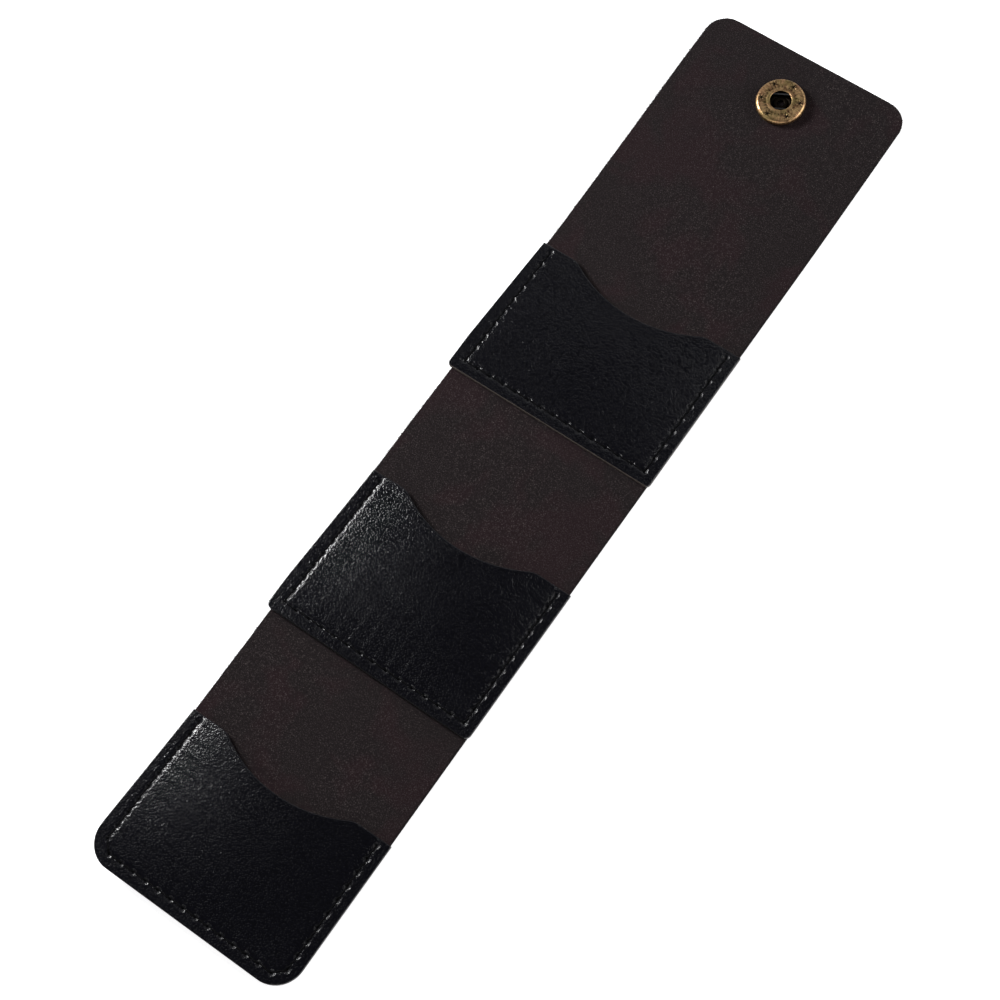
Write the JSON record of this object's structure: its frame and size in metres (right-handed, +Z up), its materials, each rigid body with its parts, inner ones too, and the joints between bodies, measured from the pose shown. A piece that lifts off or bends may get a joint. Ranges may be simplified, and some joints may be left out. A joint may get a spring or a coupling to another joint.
{
  "type": "guitar pick case",
  "caption": "Folding leather case for guitar picks: a long strip with scooped pockets sewn on its lining, folded over itself and closed by a press stud.",
  "frame": {"origin": "on the floor under the middle of the opened strip, at the height of the stud's tip", "axes": "+Z up, out of the lining side; +Y along the strip towards the flap; +X across the strip"},
  "size_m": [0.06, 0.266, 0.0069],
  "materials": {
    "outer_leather": "black smooth fine-grained leather, satin",
    "pocket_leather": "black smooth fine-grained leather, satin",
    "suede_lining": "brown-black short-napped suede lining",
    "thread": "black waxed polyester sewing thread",
    "antique_brass": "antique brass plating, worn bright on the rims",
    "spring_wire": "drawn spring wire"
  },
  "bodies": {
    "flap": {"outer_leather_flap": "outer_leather", "suede_lining_flap": "suede_lining", "snap_cap": "antique_brass", "snap_socket": "antique_brass", "snap_spring": "spring_wire"},
    "flap_fold": {"outer_leather_flap_fold": "outer_leather", "suede_lining_flap_fold": "suede_lining"},
    "panel_1": {"outer_leather_panel_1": "outer_leather", "suede_lining_panel_1": "suede_lining", "pocket_leather_1": "pocket_leather", "top_thread_1": "thread", "bobbin_thread_1": "thread"},
    "back_fold": {"outer_leather_back_fold": "outer_leather", "suede_lining_back_fold": "suede_lining"},
    "panel_2": {"outer_leather_panel_2": "outer_leather", "suede_lining_panel_2": "suede_lining", "pocket_leather_2": "pocket_leather", "top_thread_2": "thread", "bobbin_thread_2": "thread", "snap_stud": "antique_brass", "snap_post": "antique_brass"},
    "inner_fold": {"outer_leather_inner_fold": "outer_leather", "suede_lining_inner_fold": "suede_lining"},
    "panel_3": {"outer_leather_panel_3": "outer_leather", "suede_lining_panel_3": "suede_lining", "pocket_leather_3": "pocket_leather", "top_thread_3": "thread", "bobbin_thread_3": "thread"}
  },
  "joints": [
    {"name": "back_fold_1", "type": "hinge", "parent": "panel_1", "child": "back_fold", "pos_m": [0, 0.0129, 0.0046], "axis": [-1, 0, 0], "range_deg": [-4, 90]},
    {"name": "back_fold_2", "type": "hinge", "parent": "back_fold", "child": "panel_2", "pos_m": [0, 0.0047, 0.0046], "axis": [-1, 0, 0], "range_deg": [-4, 90]},
    {"name": "inner_fold_1", "type": "hinge", "parent": "panel_2", "child": "inner_fold", "pos_m": [0, -0.0622, 0.0046], "axis": [-1, 0, 0], "range_deg": [-4, 90]},
    {"name": "inner_fold_2", "type": "hinge", "parent": "inner_fold", "child": "panel_3", "pos_m": [0, -0.0668, 0.0046], "axis": [-1, 0, 0], "range_deg": [-4, 90]},
    {"name": "flap_fold_1", "type": "hinge", "parent": "panel_1", "child": "flap_fold", "pos_m": [0, 0.082, 0.0046], "axis": [1, 0, 0], "range_deg": [-4, 90], "deforming": ["outer_leather_flap_fold", "suede_lining_flap_fold"]},
    {"name": "flap_fold_2", "type": "hinge", "parent": "flap_fold", "child": "flap", "pos_m": [0, 0.0957, 0.0046], "axis": [1, 0, 0], "range_deg": [-4, 90]}
  ],
  "couplings": [
    {"joint": "back_fold_2", "follows": "back_fold_1", "ratio": 1},
    {"joint": "inner_fold_2", "follows": "inner_fold_1", "ratio": 1},
    {"joint": "flap_fold_2", "follows": "flap_fold_1", "ratio": 1}
  ]
}
